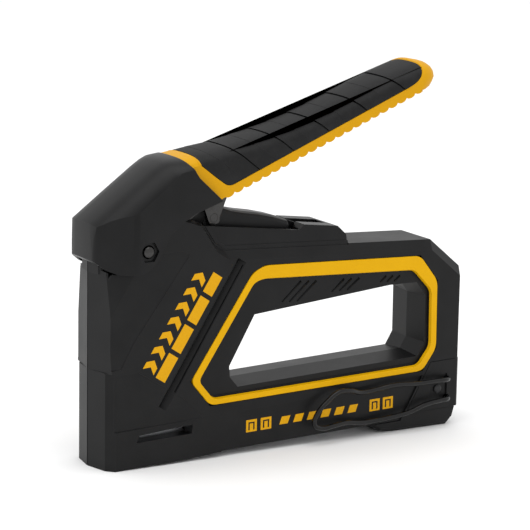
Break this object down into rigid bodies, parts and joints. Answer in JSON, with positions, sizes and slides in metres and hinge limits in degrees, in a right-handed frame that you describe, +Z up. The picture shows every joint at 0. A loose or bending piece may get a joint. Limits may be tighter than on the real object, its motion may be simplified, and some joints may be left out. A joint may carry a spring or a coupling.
{
  "type": "staple gun",
  "caption": "Hand staple gun with a raised squeeze handle hinged over the nose, framed finger opening, rear-loading magazine and a wire belt hook.",
  "frame": {"origin": "centre of the base under the tool, on the surface that nose and rear foot stand on", "axes": "+X from the nose to the rear, +Z up, +Y to the side away from the belt hook"},
  "size_m": [0.2008, 0.0384, 0.1746],
  "materials": {
    "black_plastic": "fine moulded texture",
    "grip_rubber": "matt moulded rubber",
    "trim_yellow": "satin",
    "handle_yellow": "satin",
    "bright_steel": "polished",
    "zinc_steel": "zinc plated",
    "spring_steel": "oiled",
    "black_steel": "black oxide",
    "hook_wire": "black gloss",
    "bumper_rubber": "matt"
  },
  "bodies": {
    "housing": {"left_shell": "black_plastic", "right_shell": "black_plastic", "left_trim": "trim_yellow", "right_trim": "trim_yellow", "top_cover": "black_plastic", "rear_cap": "black_plastic", "nose_plate": "bright_steel", "bumper": "bumper_rubber", "spring_seat": "zinc_steel", "power_spring": "spring_steel", "rocker_pin": "bright_steel", "pivot_pin": "bright_steel", "magazine_channel": "zinc_steel", "staple_strip": "bright_steel", "belt_hook": "hook_wire", "hook_screw": "black_steel", "housing_screw_1": "zinc_steel", "housing_screw_2": "zinc_steel", "housing_screw_3": "zinc_steel", "housing_screw_4": "zinc_steel", "housing_screw_5": "zinc_steel"},
    "handle": {"handle_hood": "black_plastic", "handle_frame": "handle_yellow", "handle_grip": "grip_rubber", "handle_core": "bright_steel", "link_pin": "bright_steel", "return_spring": "spring_steel"},
    "link": {"arched_link": "black_steel"},
    "rocker": {"lift_rocker": "black_steel"},
    "striker": {"striker_blade": "bright_steel", "hammer_block": "zinc_steel"},
    "drawer": {"pusher_handle": "black_plastic", "pusher_rail": "zinc_steel", "pusher_spring": "spring_steel"},
    "pusher": {"staple_pusher": "black_steel"}
  },
  "joints": [
    {"name": "handle_squeeze", "type": "hinge", "parent": "housing", "child": "handle", "pos_m": [-0.07608, 0.00127, 0.09845], "axis": [0, 1, 0], "range_deg": [0, 25], "stiffness_Nm_per_rad": 0.4, "springref_deg": -28.65},
    {"name": "link_swing", "type": "hinge", "parent": "handle", "child": "link", "pos_m": [-0.03837, 0.00127, 0.10959], "axis": [0, 1, 0], "range_deg": [-43.5, 0.5]},
    {"name": "rocker_swing", "type": "hinge", "parent": "housing", "child": "rocker", "pos_m": [-0.06376, 0.00127, 0.08688], "axis": [0, 1, 0], "range_deg": [-0.5, 38]},
    {"name": "striker_lift", "type": "slide", "parent": "housing", "child": "striker", "axis": [-0.0275, 0, 0.9996], "range_m": [-0.0002, 0.0176], "deforming": ["power_spring"]},
    {"name": "magazine_draw", "type": "slide", "parent": "housing", "child": "drawer", "axis": [0.9996, 0, 0.0275], "range_m": [0, 0.11]},
    {"name": "pusher_slide", "type": "slide", "parent": "drawer", "child": "pusher", "axis": [0.9996, 0, 0.0275], "range_m": [0, 0.06], "stiffness_N_per_m": 25, "springref_m": -0.04, "deforming": ["pusher_spring"]}
  ],
  "couplings": [
    {"joint": "link_swing", "follows": "handle_squeeze", "ratio": -1.72},
    {"joint": "rocker_swing", "follows": "handle_squeeze", "ratio": 1.5},
    {"joint": "striker_lift", "follows": "handle_squeeze", "m_per_rad": 0.039878}
  ]
}
